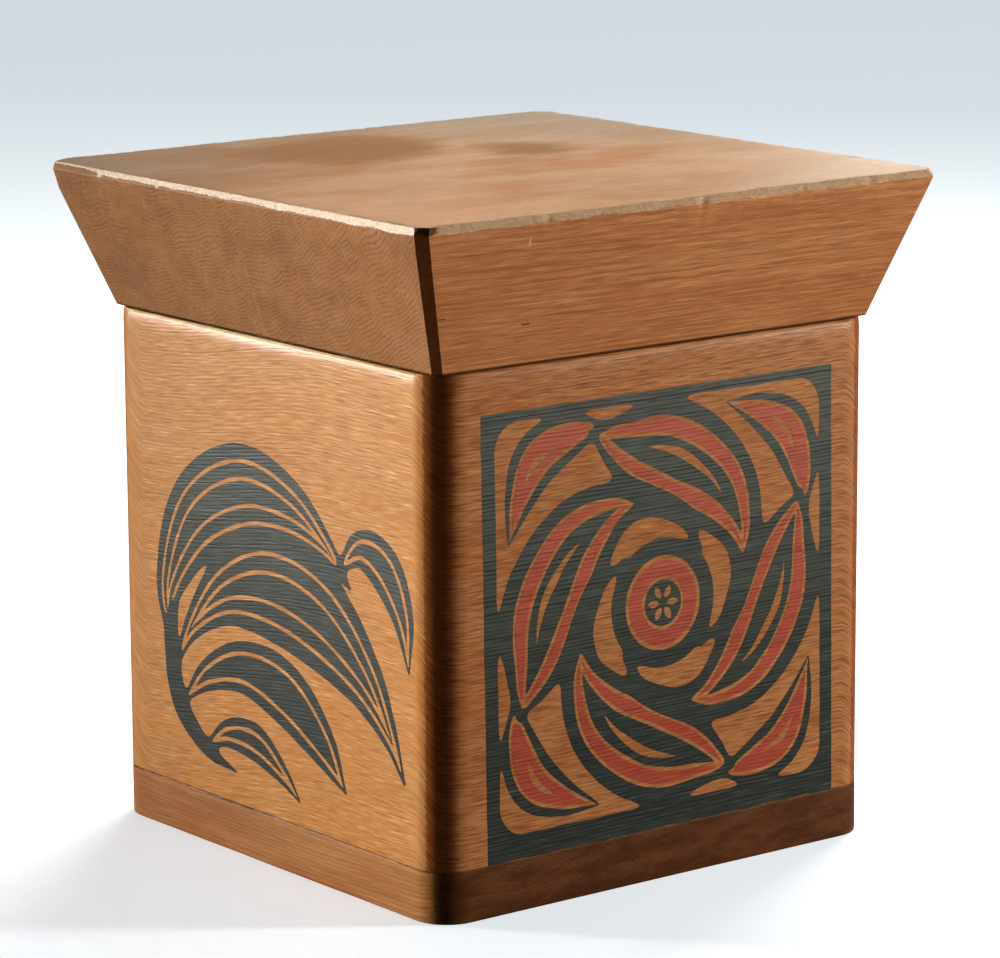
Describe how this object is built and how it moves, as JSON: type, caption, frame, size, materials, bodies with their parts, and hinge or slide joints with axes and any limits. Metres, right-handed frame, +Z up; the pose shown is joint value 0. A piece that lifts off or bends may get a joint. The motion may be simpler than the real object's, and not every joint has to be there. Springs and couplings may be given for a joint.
{
  "type": "lidded cedar box",
  "caption": "Square kerf-bent cedar box with rounded corners, a thick base board and a heavy flared wooden lid that lifts off, with painted panels on its sides.",
  "frame": {"origin": "centre of the base's underside, on the surface that the box stands on", "axes": "+Z up, -Y towards the front, the side with the large painted panel, +X to the right seen from the front"},
  "size_m": [0.3526, 0.3454, 0.371],
  "materials": {
    "side_cedar": "oiled straight-grained red cedar, satin",
    "base_cedar": "dark oiled cedar, satin",
    "lid_cedar": "oiled reddish cedar, satin, worn edges",
    "peg_wood": "whittled peg wood, matt",
    "black_paint": "thin blue-black paint over the grain, matt",
    "red_paint": "thin dull red paint over the grain, matt"
  },
  "bodies": {
    "box": {"bent_walls": "side_cedar", "base": "base_cedar", "corner_peg_1": "peg_wood", "corner_peg_2": "peg_wood", "corner_peg_3": "peg_wood", "corner_peg_4": "peg_wood", "corner_peg_5": "peg_wood", "corner_peg_6": "peg_wood", "corner_peg_7": "peg_wood", "base_peg_front_1": "peg_wood", "base_peg_front_2": "peg_wood", "base_peg_front_3": "peg_wood", "base_peg_right_1": "peg_wood", "base_peg_right_2": "peg_wood", "base_peg_right_3": "peg_wood", "base_peg_back_1": "peg_wood", "base_peg_back_2": "peg_wood", "base_peg_back_3": "peg_wood", "base_peg_left_1": "peg_wood", "base_peg_left_2": "peg_wood", "base_peg_left_3": "peg_wood"},
    "lid": {"lid": "lid_cedar"}
  },
  "joints": [
    {"name": "lid_lift", "type": "slide", "parent": "box", "child": "lid", "axis": [0, 0, 1], "range_m": [0, 0.2]}
  ]
}
